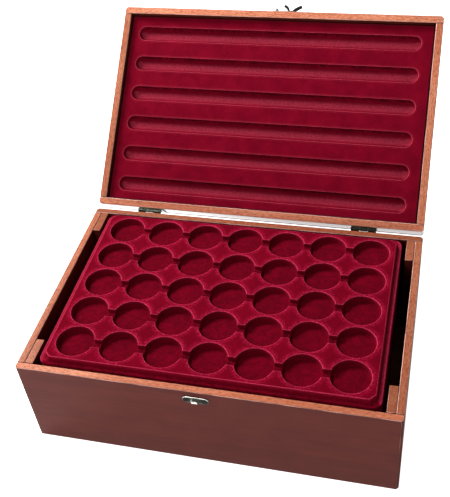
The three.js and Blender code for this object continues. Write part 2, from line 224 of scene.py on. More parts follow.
def wood(name, grain, seed, rim, tone, lacquer):
    """Stained mahogany with its grain along an axis; faces towards rim are lighter, tone scales them as
    painted light and shade, and their eased edges carry a painted highlight.
    """
    n = Nodes(name)
    stretch = [1.0, 1.0, 1.0]
    stretch["xyz".index(grain)] = 0.055
    shift = (seed * 0.37, seed * 0.23, seed * 0.11)
    along = n.mapped(stretch, shift)
    free = n.mapped((1, 1, 1), shift)
    bands = n.noise(along, 95, 4, 0.6, 0.5)
    fibres = n.noise(along, 620, 3, 0.6)
    pores = n.ranged(n.noise(along, 1500, 2, 0.5), 0.61, 0.7)
    mottle = n.noise(free, 38, 3, 0.55, 0.6)
    grit = n.noise(n.mapped([max(c, 0.3) for c in stretch], shift), 900, 3, 0.7)
    base = n.mix(n.ranged(bands, 0.25, 0.75), colour(79, 27, 20), colour(90, 33, 25))
    base = n.mix(n.ranged(fibres, 0.35, 0.7, 0.0, 0.25), base, colour(66, 22, 17))
    base = n.mix(n.ranged(mottle, 0.3, 0.75, 0.0, 0.3), base, colour(98, 40, 31))
    pale = n.mix(n.ranged(bands, 0.3, 0.7), colour(186, 108, 78), colour(222, 144, 110))
    pale = n.mix(n.ranged(mottle, 0.35, 0.7, 0.0, 0.6), pale, colour(200, 112, 80))
    pale = n.mix(n.ranged(grit, 0.42, 0.66, 0.0, 0.7), pale, colour(140, 68, 46))
    # tone scales the pale rim for each board: painted shade below 1, painted light above 1
    pale = n.mix(1.0, pale, (tone, tone**1.15, tone**1.3, 1.0), "MULTIPLY")
    upward = n.facing(rim)
    skin = n.mix(n.ranged(upward, 0.75, 0.97), base, pale)
    # Painted highlight: a pale pink line on the eased edges, where a lamp would glint
    painted_highlight = n.math("MULTIPLY", n.ranged(upward, 0.2, 0.5), n.ranged(upward, 0.95, 0.8))
    painted_highlight = n.math("MULTIPLY", painted_highlight, n.ranged(mottle, 0.35, 0.6, 0.35, 1.0))
    skin = n.mix(painted_highlight, skin, colour(244, 196, 184))
    dark_pores = n.math("MULTIPLY", pores, n.ranged(upward, 0.75, 0.97, 0.1, 0.45))
    skin = n.mix(dark_pores, skin, colour(60, 20, 15))
    n.link(skin, n.shader.inputs["Base Color"])
    n.link(n.ranged(fibres, 0.3, 0.8, 0.42, 0.5), n.shader.inputs["Roughness"])
    height = n.math("SUBTRACT", n.math("MULTIPLY", fibres, 0.35), pores)
    n.link(n.bump(height, 0.00005, 0.3), n.shader.inputs["Normal"])
    n.set(Coat_Weight=lacquer, Coat_Roughness=0.3 - 0.2 * lacquer, Specular_IOR_Level=0.06)
    return n.material


# lip is the colour of the painted edge sheen, and shade is the colour of the painted shade in deep places
def flock(name, low, high, lip, combed, shade, grid=None):
    """Short flock: a painted sheen, paler where it fans out over an edge, paler where it was brushed round
    the recesses of a grid, and painted shade, darker where it is deep. The grid is (pitches, last lines,
    recess radius, top), in metres."""
    n = Nodes(name)
    free = n.mapped((1, 1, 1))
    nap = n.noise(free, 60, 3, 0.6, 0.3)
    fibres = n.noise(free, 2600, 2, 0.7)
    clumps = n.noise(free, 850, 3, 0.65)
    folds = n.noise(free, 170, 3, 0.6, 1.2)
    tone = n.mix(n.ranged(nap, 0.3, 0.7), low, high)
    tone = n.mix(n.ranged(fibres, 0.35, 0.7, 0.0, 0.4), tone, low)
    # Painted shade where the lip attribute is negative: recess and notch walls and floors
    painted_depth_shade = n.ranged(n.attribute("lip"), -1.0, 0.0, 1.0, 0.0)
    brushed = n.ranged(clumps, 0.56, 0.74, 0.0, 0.3)
    if grid is not None:
        (pitch_x, pitch_y), (last_x, last_y), radius, top = grid
        x = n.from_nearest((1, 0, 0), pitch_x, last_x)
        y = n.from_nearest((0, 1, 0), pitch_y, last_y)
        away = n.math("SQRT", n.math("ADD", n.math("MULTIPLY", x, x), n.math("MULTIPLY", y, y)), 0)
        halo = n.ranged(away, radius + 0.0005, radius + 0.0058, 1.0, 0.0)
        broken = n.ranged(clumps, 0.44, 0.62, 0.0, 0.85)
        halo = n.math("MULTIPLY", halo, broken)
        halo = n.math("MULTIPLY", halo, n.ranged(folds, 0.3, 0.65, 0.35, 1.0))
        halo = n.math("MULTIPLY", halo, n.ranged(n.along((0, 0, 1)), top - 0.0008, top - 0.0001))
        brushed = n.math("MAXIMUM", brushed, halo)
    brushed = n.math("MULTIPLY", brushed, n.math("SUBTRACT", 1.0, n.math("MULTIPLY", painted_depth_shade, 1.4)))
    tone = n.mix(n.math("MAXIMUM", brushed, 0.0), tone, combed)
    tone = n.mix(n.math("MULTIPLY", painted_depth_shade, n.ranged(folds, 0.38, 0.62, 1.0, 0.2)), tone, shade)
    # Painted sheen on rounded edges, in the lip colour, where the lip attribute is positive
    painted_edge_sheen = n.ranged(n.attribute("lip"), 0.0, 1.0)
    tone = n.mix(n.math("MULTIPLY", painted_edge_sheen, n.ranged(clumps, 0.3, 0.7, 0.3, 0.95)), tone, lip)
    n.link(tone, n.shader.inputs["Base Color"])
    height = n.math("ADD", fibres, n.math("MULTIPLY", clumps, 0.9))
    n.link(n.bump(height, 0.00025, 0.8), n.shader.inputs["Normal"])
    n.set(Roughness=0.95, Specular_IOR_Level=0.03, Sheen_Weight=0.03, Sheen_Roughness=0.5)
    n.set(Sheen_Tint=(1.0, 0.2, 0.35, 1.0))
    return n.material


def metal(name, bright, dull, rough, shade_beyond=None, metallic=1.0):
    """Plated metal, dulled in patches, with a painted highlight where the lip attribute is negative and
    darkening where it is positive:
    painted shade along a plate's lower edge and a darker ring round its holes. The fifth argument is an
    axis and the distance along it beyond which the metal is black, painted shade on the side away from the
    light."""
    n = Nodes(name)
    free = n.mapped((1, 1, 1))
    stain = n.noise(free, 260, 4, 0.65, 0.8)
    specks = n.noise(free, 2200, 2, 0.6)
    scratches = n.noise(n.mapped((0.15, 1, 1)), 2600, 2, 0.5)
    tone = n.mix(n.ranged(stain, 0.35, 0.7), bright, dull)
    tone = n.mix(n.ranged(specks, 0.62, 0.75, 0.0, 0.7), tone, dull)
    # Painted highlight where the lip attribute is negative
    painted_highlight = n.ranged(n.attribute("lip"), -1.0, 0.0, 1.0, 0.0)
    tone = n.mix(painted_highlight, tone, colour(236, 236, 228))
    # Darkening where it is positive: painted shade along a plate's lower edge, and a darker ring round
    # each hole
    darker_mask = n.ranged(n.attribute("lip"), 0.0, 1.0)
    darkening = n.math("MULTIPLY", darker_mask, n.ranged(specks, 0.25, 0.6, 0.8, 1.0))
    tone = n.mix(darkening, tone, colour(20, 18, 16))
    # Painted shade: black beyond a line, on the side of a part away from the light
    if shade_beyond is not None:
        axis, start = shade_beyond
        beyond = n.ranged(n.along(axis), start, start + 0.0005)
        tone = n.mix(beyond, tone, colour(24, 22, 22))
    n.link(tone, n.shader.inputs["Base Color"])
    n.link(n.ranged(stain, 0.3, 0.7, rough, rough + 0.2), n.shader.inputs["Roughness"])
    n.link(n.bump(scratches, 0.00004, 0.4), n.shader.inputs["Normal"])
    n.set(Metallic=metallic)
    return n.material


# ---------------------------------------------------------------------------------------------
# Mesh code
# ---------------------------------------------------------------------------------------------
class Shape:
    """Vertices in millimetres, each with a tint from -1 to 1 for the lip attribute, which carries painted
    light and shade, and faces.
    """

    def __init__(self):
        self.verts, self.faces, self.tints = [], [], []

    def add(self, verts, faces, tints, shift=(0, 0, 0)):
        first = len(self.verts)
        dx, dy, dz = shift
        self.verts += [(x + dx, y + dy, z + dz) for x, y, z in verts]
        self.faces += [tuple(i + first for i in face) for face in faces]
        self.tints += tints

    def loft(self, loops, tints):
        """Joins loops that have the same number of points."""
        count = len(loops[0])
        verts = [p for loop in loops for p in loop]
        faces = []
        for row in range(len(loops) - 1):
            for i in range(count):
                j = (i + 1) % count
                low, high = row * count, (row + 1) * count
                faces.append((low + i, high + i, high + j, low + j))
        spread = [t if isinstance(t, list) else [t] * count for t in tints]
        self.add(verts, faces, [t for row in spread for t in row])

    def cap(self, loop):
        self.add(loop, [tuple(range(len(loop)))], [0.0] * len(loop))

    def mesh(self, name):
        merge = 0.002
        mesh = bpy.data.meshes.new(name)
        mesh.from_pydata([[c * MM for c in v] for v in self.verts], [], self.faces)
        tint = mesh.attributes.new("lip", "FLOAT", "POINT")
        tint.data.foreach_set("value", self.tints)
        bm = bmesh.new()
        bm.from_mesh(mesh)
        bmesh.ops.remove_doubles(bm, verts=bm.verts, dist=merge * MM)
        bmesh.ops.recalc_face_normals(bm, faces=bm.faces)
        for face in bm.faces:
            face.smooth = True
        bm.to_mesh(mesh)
        bm.free()
        return mesh


def quarter_round(radius, steps):
    """(inset, drop, turn) rows round an edge, from its flat side to its upright side."""
    turns = [math.pi / 2 * i / steps for i in range(steps + 1)]
    return [(radius * (1 - math.sin(t)), radius * (1 - math.cos(t)), t) for t in turns]


def painted_lip_sheen(turn):
    """Painted sheen: the flock on a rounded lip is painted palest halfway round."""
    return 0.25 + 0.75 * math.sin(2 * turn)


def lip_profile(wall, depth, lip, foot, draft, steps, bottom):
    """(distance, depth, tint) over a rounded lip, down a drafted wall and round its foot. The tint is
    painted sheen over the lip, and bottom sets it round the foot: painted shade where bottom is negative,
    painted light where it is positive.
    """
    rows = [(wall + lip + 0.15, 0.0, 0.0)]
    for inset, drop, turn in quarter_round(lip, steps):
        rows.append((wall + inset, drop, painted_lip_sheen(turn)))
    for rise, away, turn in quarter_round(foot, steps):
        rows.append((wall - draft - away, depth - rise, bottom * math.sin(turn)))
    return rows


def sampled(profile):
    """Functions from distance to depth and to tint."""
    rows = sorted(profile)
    at = [r[0] for r in rows]
    depths, tints = [r[1] for r in rows], [r[2] for r in rows]
    return lambda d: float(np.interp(d, at, depths)), lambda d: float(np.interp(d, at, tints))


def circle(radius, count, centre=(0, 0)):
    turns = [2 * math.pi * i / count for i in range(count)]
    return [(centre[0] + radius * math.cos(t), centre[1] + radius * math.sin(t)) for t in turns]


def stadium(half_length, half_width, count, centre=(0, 0)):
    """A slot outline with round ends, count points on each end."""
    points = []
    for side in (1, -1):
        for i in range(count):
            turn = math.pi * i / (count - 1) - side * math.pi / 2
            x = side * (half_length - half_width) + half_width * math.cos(turn)
            points.append((centre[0] + x, centre[1] + half_width * math.sin(turn)))
    return points


def corner_points(half, size, clipped):
    """A rectangle's outline with its corners rounded or clipped, the same number of points each."""
    hx, hy = half
    count = CORNER_POINTS * 2
    if clipped:
        bend = min(1.2, size * 0.35)
        slant = bend / math.sqrt(2)
        first = [(hx, hy - size - bend), (hx, hy - size), (hx - slant, hy - size + slant)]
        second = [(hx - size + slant, hy - slant), (hx - size, hy), (hx - size - bend, hy)]
        corner = []
        for a, b, c in (first, second):
            for i in range(CORNER_POINTS):
                t = i / (CORNER_POINTS - 1)
                weights = ((1 - t) ** 2, 2 * t * (1 - t), t * t)
                corner.append(
                    tuple(weights[0] * p + weights[1] * q + weights[2] * r for p, q, r in zip(a, b, c))
                )
    else:
        turns = [math.pi / 2 * i / (count - 1) for i in range(count)]
        corner = [(hx - size + size * math.cos(t), hy - size + size * math.sin(t)) for t in turns]
    flipped = [(-x, y) for x, y in reversed(corner)]
    low = [(-x, -y) for x, y in corner]
    low_right = [(x, -y) for x, y in reversed(corner)]
    return corner + flipped + low + low_right


def triangulated(curves):
    """Triangles between closed and open plan curves; crossing curves get a shared point."""
    points, edges = [], []
    for curve, closed in curves:
        first, count = len(points), len(curve)
        points += [Vector(p) for p in curve]
        edges += [(first + i, first + i + 1) for i in range(count - 1)]
        if closed:
            edges.append((first + count - 1, first))
    verts, _, faces, _, _, _ = delaunay_2d_cdt(points, edges, [], 0, 1e-4)
    return [(v.x, v.y) for v in verts], [tuple(f) for f in faces]


def recess_cell(kind, segments, steps):
    """One recess with its share of the tray's top, and half of the notch to each neighbour."""
    left, right, low, high = kind
    half_x, half_y = RECESS_PITCH[0] / 2, RECESS_PITCH[1] / 2
    x0, x1 = (-half_x if left else -FIELD_MARGIN[0]), (half_x if right else FIELD_MARGIN[0])
    y0, y1 = (-half_y if low else -FIELD_MARGIN[1]), (half_y if high else FIELD_MARGIN[1])
    # Negative bottoms: painted shade round the feet of the recess and notch walls
    recess = lip_profile(RECESS_RADIUS, RECESS_DEPTH, RECESS_LIP, RECESS_FOOT, RECESS_DRAFT, steps, -0.45)
    notch_steps = max(2, steps - 1)
    notch = lip_profile(NOTCH_HALF, NOTCH_DEPTH, NOTCH_LIP, NOTCH_FOOT, NOTCH_DRAFT, notch_steps, -0.7)
    recess_depth, recess_tint = sampled(recess)
    notch_depth, notch_tint = sampled(notch)
    share = (NOTCH_DEPTH - RECESS_LIP) / (RECESS_DEPTH - RECESS_FOOT - RECESS_LIP)
    crossing = RECESS_RADIUS - RECESS_DRAFT * share
    # Extra lines inside the floor and across the top keep the triangles short
    inner, spread = 9.0, 11.5
    # Where the notches' lines start, just inside the recess wall
    notch_start = 15.6
    radii = [r for r, _, _ in recess] + [crossing, inner]
    curves = [(circle(r, segments), True) for r in radii]
    marks = [d for d, _, _ in notch]
    ys = sorted({y0, y1, -spread, spread, *marks, *(-d for d in marks)})
    xs = [x0, -inner, 0, inner, x1]
    rectangle = [(x, y0) for x in xs] + [(x1, y) for y in ys[1:]]
    rectangle += [(x, y1) for x in reversed(xs[:-1])] + [(x0, y) for y in reversed(ys[1:-1])]
    curves.append((rectangle, True))
    for side, edge, joined in ((-1, x0, left), (1, x1, right)):
        if joined:
            for d in marks:
                curves += [([(side * notch_start, s * d), (edge, s * d)], False) for s in (-1, 1)]
    plan, faces = triangulated(curves)
    verts, tints = [], []
    for x, y in plan:
        away = math.hypot(x, y)
        depth, tint = recess_depth(away), recess_tint(away)
        if (left and x < 0) or (right and x > 0):
            channel = notch_depth(abs(y))
            if channel > depth:
                depth, tint = channel, notch_tint(abs(y))
        verts.append((x, y, TRAY_HEIGHT - depth))
        tints.append(tint)
    return verts, faces, tints, xs, ys


def flange_painted_light(x, y):
    """Painted shade along the front of the flange, where the wall would shadow it; painted light down the
    left and right, and a little elsewhere.
    """
    hx, hy = TRAY_HALF
    strip = 3.5
    if x < -hx + strip:
        return 0.4
    if y < -hy + strip:
        return -0.6
    return 0.5 if x > hx - strip else 0.2


def coin_tray_mesh(name, segments, steps):
    """A flocked tray: recesses joined by notches, a clipped wall, and a rounded flange."""
    shape = Shape()
    cells = {}
    edge_points = []
    for row in range(ROWS):
        for column in range(COLUMNS):
            kind = (column > 0, column < COLUMNS - 1, row > 0, row < ROWS - 1)
            if kind not in cells:
                cells[kind] = recess_cell(kind, segments, steps)
            verts, faces, tints, xs, ys = cells[kind]
            cx = (column - (COLUMNS - 1) / 2) * RECESS_PITCH[0]
            cy = (row - (ROWS - 1) / 2) * RECESS_PITCH[1]
            shape.add(verts, faces, tints, (cx, cy, 0))
            if not kind[0]:
                edge_points += [(cx + xs[0], cy + y) for y in ys]
            if not kind[1]:
                edge_points += [(cx + xs[-1], cy + y) for y in ys]
            if not kind[2]:
                edge_points += [(cx + x, cy + ys[0]) for x in xs]
            if not kind[3]:
                edge_points += [(cx + x, cy + ys[-1]) for x in xs]
    field = (
        (COLUMNS - 1) / 2 * RECESS_PITCH[0] + FIELD_MARGIN[0],
        (ROWS - 1) / 2 * RECESS_PITCH[1] + FIELD_MARGIN[1],
    )
    edge_points = {(round(x, 4), round(y, 4)) for x, y in edge_points}
    edge_points = sorted(edge_points, key=lambda p: math.atan2(p[1], p[0]))
    px, py = PLATEAU_HALF
    rows = [(PLATEAU_LIP + 0.15, 0.0, 0.0)]
    rows += [(inset, drop, painted_lip_sheen(turn)) for inset, drop, turn in quarter_round(PLATEAU_LIP, steps)]
    loops, tints = [], []
    for inset, drop, tint in rows:
        plan = corner_points((px - inset, py - inset), PLATEAU_CLIP - inset * 0.4, True)
        loops.append([(x, y, TRAY_HEIGHT - drop) for x, y in plan])
        tints.append(tint)
    top = [(x, y) for x, y, _ in loops[0]]
    plan, faces = triangulated([(top, True), (edge_points, True)])
    faces = [f for f in faces if not inside(f, plan, field)]
    shape.add([(x, y, TRAY_HEIGHT) for x, y in plan], faces, [0.0] * len(plan))
    for i, (rise, away, _) in enumerate(quarter_round(WALL_FOOT, steps)):
        out = WALL_DRAFT + away
        plan = corner_points((px + out, py + out), PLATEAU_CLIP + 0.3, True)
        loops.append([(x, y, FLANGE_Z + rise) for x, y in plan])
        tints.append([flange_painted_light(x, y) * max(2 * i / steps - 1, 0) for x, y in plan])
    hx, hy = TRAY_HALF
    for inset, drop, turn in quarter_round(BRIM, steps):
        plan = corner_points((hx - inset, hy - inset), FLANGE_CORNER - inset, False)
        loops.append([(x, y, FLANGE_Z - drop) for x, y in plan])
        # Painted sheen along the flange's rounded brim, weaker along the front
        edge_sheen = 0.45 * math.sin(2 * turn)
        tints.append([flange_painted_light(x, y) + edge_sheen * (0.3 if y < -hy + 2 else 1.0) for x, y in plan])
    for inset, z in ((0.0, 0.5), (0.15, 0.15), (0.5, 0.0)):
        plan = corner_points((hx - inset, hy - inset), FLANGE_CORNER - inset, False)
        loops.append([(x, y, z) for x, y in plan])
        tints.append(0.0)
    shape.loft(loops, tints)
    shape.cap(loops[-1])
    return shape.mesh(name)


def inside(face, plan, half):
    x = sum(plan[i][0] for i in face) / len(face)
    y = sum(plan[i][1] for i in face) / len(face)
    return abs(x) < half[0] and abs(y) < half[1]


def insert_mesh(name, half):
    """The lid's flocked board: six round-ended troughs, each inside a faint pressed outline."""
    steps = 5
    # Tints: painted light round the trough's foot, and painted sheen on the trough lip and the pressed
    # outline
    trough = lip_profile(GROOVE_HALF_WIDTH, GROOVE_DEPTH, 0.8, 3.0, 0.5, steps, 0.55)
    outline = [(9.5, 0.0, 0.0), (9.15, 0.16, 0.2), (8.75, 0.16, 0.25), (8.45, 0.0, 0.12)]
    depth_at, tint_at = sampled(outline + trough)
    marks = [d for d, _, _ in outline + trough]
    lines = [(i - (GROOVE_COUNT - 1) / 2) * GROOVE_PITCH + GROOVE_SHIFT[1] for i in range(GROOVE_COUNT)]
    straight = GROOVE_HALF_LENGTH - GROOVE_HALF_WIDTH
    curves = []
    for y in lines:
        curves += [(stadium(straight + d, d, 17, (GROOVE_SHIFT[0], y)), True) for d in marks]
        curves.append(([(GROOVE_SHIFT[0] - straight, y), (GROOVE_SHIFT[0] + straight, y)], False))
    rows = [(INSERT_LIP + 0.5, 0.0, 0.0)]
    # Painted sheen round the board's rounded edge
    rows += [(inset, drop, 0.5 * math.sin(2 * turn)) for inset, drop, turn in quarter_round(INSERT_LIP, 4)]
    edge, tints = [], []
    for inset, drop, tint in rows:
        plan = corner_points((half[0] - inset, half[1] - inset), INSERT_CORNER, False)
        edge.append([(x, y, -drop) for x, y in plan])
        tints.append(tint)
    curves.append(([(x, y) for x, y, _ in edge[0]], True))
    plan, faces = triangulated(curves)
    verts, face_tints = [], []
    for x, y in plan:
        near = min(lines, key=lambda line: abs(line - y))
        away = math.hypot(max(abs(x - GROOVE_SHIFT[0]) - straight, 0.0), y - near)
        verts.append((x, y, -depth_at(away)))
        tint = tint_at(away)
        # Painted shade on the trough walls: strongly down one side, away from the light, and a little near
        # the top of the other
        if away < GROOVE_HALF_WIDTH + 0.3:
            tint -= 0.9 * min(max((y - near - 2.0) / 3.5, 0.0), 1.0)
            tint -= 0.75 * min(max((near - y - 4.0) / 2.5, 0.0), 1.0)
        face_tints.append(tint)
    shape = Shape()
    shape.add(verts, faces, face_tints)
    edge.append([(x, y, -INSERT_THICK) for x, y, _ in edge[-1]])
    tints.append(0.0)
    shape.loft(edge, tints)
    shape.cap(edge[-1])
    return shape.mesh(name)


def board_mesh(name, low, high, corners):
    """A board with eased edges; corners lists the (x side, y side) upright edges that are rounder."""
    corner_radius, soft = 1.4, 0.5
    mesh = bpy.data.meshes.new(name)
    bm = bmesh.new()
    bmesh.ops.create_cube(bm, size=1.0)
    size, middle = Vector(high) - Vector(low), (Vector(high) + Vector(low)) / 2
    for v in bm.verts:
        v.co = Vector(c * s for c, s in zip(v.co, size)) + middle
    uprights = []
    for e in bm.edges:
        a, b = e.verts[0].co, e.verts[1].co
        if abs(a.z - b.z) > 1e-6:
            side = (1 if a.x > middle.x else -1, 1 if a.y > middle.y else -1)
            if side in corners:
                uprights.append(e)
    if uprights:
        bmesh.ops.bevel(bm, geom=uprights, offset=corner_radius * MM, segments=6, affect="EDGES")
    sharp = [e for e in bm.edges if len(e.link_faces) == 2 and e.calc_face_angle(0) > math.radians(40)]
    bmesh.ops.bevel(bm, geom=sharp, offset=soft * MM, segments=3, affect="EDGES")
    bmesh.ops.recalc_face_normals(bm, faces=bm.faces)
    for face in bm.faces:
        face.smooth = True
    bm.to_mesh(mesh)
    bm.free()
    return mesh


def smoothed(points, per=6):
    """A Catmull-Rom curve through rows of numbers."""
    rows = [np.array(p, float) for p in points]
    rows = [2 * rows[0] - rows[1]] + rows + [2 * rows[-1] - rows[-2]]
    curve = []
    for a, b, c, d in zip(rows, rows[1:], rows[2:], rows[3:]):
        for i in range(per):
            t = i / per
            bend = (2 * a - 5 * b + 4 * c - d) * t * t + (3 * b - a - 3 * c + d) * t**3
            curve.append(0.5 * (2 * b + (c - a) * t + bend))
    return curve + [rows[-2]]


def ribbon(shape, points):
    """A bent strip along (x, out, thickness, width) rows; it stands out towards -Y."""
    rows = smoothed(points)
    loops = []
    for i, (x, out, thick, width) in enumerate(rows):
        ahead, behind = rows[min(i + 1, len(rows) - 1)], rows[max(i - 1, 0)]
        along = Vector((ahead[0] - behind[0], ahead[1] - behind[1])).normalized()
        round_off = 0.32 * min(thick, width)
        plan = corner_points((width / 2, thick / 2), round_off, False)
        loops.append([(x - along.y * b, -(out + along.x * b), a) for a, b in plan])
    shape.loft(loops, [0.0] * len(loops))
    shape.cap(loops[0])
    shape.cap(loops[-1])


def turned(shape, profile, centre, count=36):
    """A part turned from (radius, out) rows about an axis towards -Y; a ring if no end is on the axis."""
    loops = []
    for radius, out in profile:
        loops.append([(x, -out, z) for x, z in circle(max(radius, 0.02), count, centre)])
    shape.loft(loops, [0.0] * len(loops))
    for end in (0, -1):
        if profile[end][0] == 0:
            shape.cap(loops[end])


def dome(radius, height, base, steps=7):
    """(radius, out) rows up to a round top on the axis."""
    turns = [math.pi / 2 * i / steps for i in range(steps)]
    return [(radius * math.cos(t), base + height * math.sin(t)) for t in turns] + [(0, base + height)]


def relief_plate_mesh(name, holes):
    """A thin plate with round ends, rolled edges and a countersink at each hole."""
    shape = Shape()
    length, half = PLATE_HALF_LENGTH, PLATE_HALF_WIDTH

    def painted_edge_light(x, z):
        """Painted highlight along the top and most of all at the left end, painted shade along the bottom.
        """
        if z < -0.3 * half:
            return 0.9
        rub = min(max(z / half, 0.0), 1.0)
        return -rub * (1.0 if x < -0.55 * length or x > 0.3 * length else 0.35)

    rows = [(0, 0, 0), (0, 0.5, 0.6), (0.08, 0.72, 1), (0.28, 0.86, 1)]
    rows += [(0.55, PLATE_THICK, 0.8), (0.75, PLATE_THICK, 0.2)]
    edge, edge_light_tints = [], []
    for inset, out, weight in rows:
        plan = stadium(length - inset, half - inset, 21)
        edge.append([(x, -out, z) for x, z in plan])
        edge_light_tints.append([weight * painted_edge_light(x, z) for x, z in plan])
    shape.loft(edge, edge_light_tints)
    shape.cap(edge[0])
    sink = [(0.9, 0.0), (SCREW_RADIUS + 0.05, 0.0)]
    sink += [(SCREW_RADIUS + 0.45, 0.85 * COUNTERSINK), (SCREW_RADIUS + 0.6, COUNTERSINK)]
    curves = [([(x, z) for x, _, z in edge[-1]], True)]
    curves += [(circle(radius, 40, (x, 0)), True) for x in holes for radius, _ in sink]
    plan, faces = triangulated(curves)
    at, rise = [r for r, _ in sink], [h - COUNTERSINK for _, h in sink]
    # Darker in a ring round each hole
    ring = [SCREW_RADIUS + 0.5, SCREW_RADIUS + 1.2]
    verts, darkening = [], []
    for x, z in plan:
        away = min(math.hypot(x - hole, z) for hole in holes)
        verts.append((x, -(PLATE_THICK + float(np.interp(away, at, rise))), z))
        darkening.append(float(np.interp(away, ring, [1.0, 0.0])))
    shape.add(verts, faces, darkening)
    return shape.mesh(name)


def slotted_screw_mesh(name, height):
    """A screw head with a low dome and a slot across it; its seat is at y = 0."""
    shape = Shape()
    slot_half, slot_deep = 0.26, min(0.5, height * 0.8)
    radii = [SCREW_RADIUS, SCREW_RADIUS - 0.18, 1.3, 0.7]
    curves = [(circle(r, 48), True) for r in radii]
    for d in (slot_half, slot_half + 0.07):
        reach = math.sqrt(SCREW_RADIUS**2 - d * d) * 0.985
        curves += [([(-reach, s * d), (reach, s * d)], False) for s in (-1, 1)]
    plan, faces = triangulated(curves)

    def out_at(x, z):
        away = math.hypot(x, z) / SCREW_RADIUS
        top = height * (1 - 0.3 * away * away) - (0.12 if away > 0.98 else 0)
        return max(top - (slot_deep if abs(z) < slot_half + 0.03 else 0), 0.04)

    shape.add([(x, -out_at(x, z), z) for x, z in plan], faces, [0.0] * len(plan))
    rim = circle(SCREW_RADIUS, 48)
    loops = [[(x, -out_at(x, z), z) for x, z in rim], [(x, 0.0, z) for x, z in rim]]
    shape.loft(loops, [0.0, 0.0])
    shape.cap(loops[-1])
    return shape.mesh(name)


def hook_mesh(name):
    """The swing hook about its pivot: eye, strip, finger tab and knob."""
    shape = Shape()
    eye = [(1.3, 1.9), (1.5, 1.72), (3.0, 1.72), (3.25, 1.95), (3.25, 2.8)]
    eye += [(3.0, 3.06), (1.5, 3.06), (1.3, 2.9), (1.3, 1.9)]
    turned(shape, eye, (0, 0), 40)
    strip = [(2.0, 2.4, 1.3, 3.3), (6, 2.4, 1.35, 3.3), (11, 2.4, 1.35, 3.2), (14.6, 2.4, 1.35, 3.1)]
    strip += [(16.6, 2.5, 1.45, 3.1), (18.2, 3.25, 2.6, 3.1), (20.0, 4.5, 3.3, 3.0)]
    strip += [(22.2, 5.9, 3.2, 2.9), (24.0, 7.0, 2.7, 2.6)]
    ribbon(shape, strip)
    tab = [(13.2, 2.2, 2.1, 3.1), (12.85, 3.6, 2.1, 3.1), (11.9, 5.3, 2.7, 3.1), (10.7, 6.8, 2.9, 3.1)]
    tab += [(9.2, 7.8, 2.7, 3.0), (8.1, 8.4, 2.2, 2.8)]
    ribbon(shape, tab)
    knob_x, knob_out, knob_radius, knob_half, steps = 24.5, 7.3, 1.95, 1.8, 14
    turns = [math.pi * i / steps for i in range(1, steps)]
    ball = [(0, knob_out - knob_half)]
    ball += [(knob_radius * math.sin(t), knob_out - knob_half * math.cos(t)) for t in turns]
    ball.append((0, knob_out + knob_half))
    turned(shape, ball, (knob_x, 0), 28)
    return shape.mesh(name)


def catch_mesh(name):
    """The bent catch tab: a foot, an upright, and an arm that reaches over to the right."""
    shape = Shape()
    path = [(-2.8, 0.95, 0.9, 2.1), (-2.82, 2.0, 0.9, 2.1), (-2.75, 3.2, 0.9, 2.1)]
    path += [(-2.2, 3.95, 0.85, 2.1), (-1.2, 4.12, 0.8, 2.0), (0.5, 4.1, 0.8, 2.0)]
    path += [(1.7, 4.15, 0.8, 2.0), (2.5, 4.6, 0.6, 1.8)]
    ribbon(shape, path)
    return shape.mesh(name)


def rivet_mesh(name):
    """The rivet that the hook turns on, with a domed head."""
    shape = Shape()
    profile = [(0, 0.9), (1.0, 0.9), (1.0, 3.4), (2.1, 3.4), (2.3, 3.6)] + dome(2.3, 1.7, 3.75)
    turned(shape, profile, (0, 0), 36)
    return shape.mesh(name)


# ---------------------------------------------------------------------------------------------
# Placing pieces
# ---------------------------------------------------------------------------------------------
hinge = next(j for j in frame["joints"] if j["name"] == "lid_hinge")
hinge_point = Vector(hinge["pos_m"])
lid_open = (
    Matrix.Translation(hinge_point) @ Matrix.Rotation(-LID_OPEN, 4, "X") @ Matrix.Translation(-hinge_point)
)


def closed_box(node):
    """A lid node's box with the lid shut."""
    shut = lid_open.inverted()
    points = [shut @ v.co for v in frame["nodes"][node].data.vertices]
    low = Vector([min(p[i] for p in points) for i in range(3)])
    high = Vector([max(p[i] for p in points) for i in range(3)])
    return low, high


def piece(name, mesh, material, body, nodes, place=None):
    """Adds a mesh as a piece that rides on a body and stands for CAD nodes."""
    obj = bpy.data.objects.new(name, mesh)
    scene.collection.objects.link(obj)
    if not mesh.materials:
        mesh.materials.append(material)
    if place is not None:
        obj.matrix_world = place
    weighted = obj.modifiers.new("even_shading", "WEIGHTED_NORMAL")
    weighted.mode = "FACE_AREA"
    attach(obj, body)
    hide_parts(*nodes)


CASE_RIM = (0, 0, 1)
LID_RIM = (0, 0, -1)
FRONT_CORNERS = [(-1, -1), (1, -1)]
BACK_CORNERS = [(-1, 1), (1, 1)]
case_boards = {
    "front_wall": ("x", FRONT_CORNERS),
    "back_wall": ("x", BACK_CORNERS),
    "left_wall": ("y", []),
    "right_wall": ("y", []),
    "bottom_panel": ("x", []),
    "corner_block_front_left": ("z", []),
    "corner_block_front_right": ("z", []),
    "corner_block_rear_left": ("z", []),
    "corner_block_rear_right": ("z", []),
}
lid_boards = {
    "lid_front_rail": ("x", FRONT_CORNERS),
    "lid_back_rail": ("x", BACK_CORNERS),
    "lid_left_rail": ("y", []),
    "lid_right_rail": ("y", []),
    "lid_panel": ("x", FRONT_CORNERS + BACK_CORNERS),
}
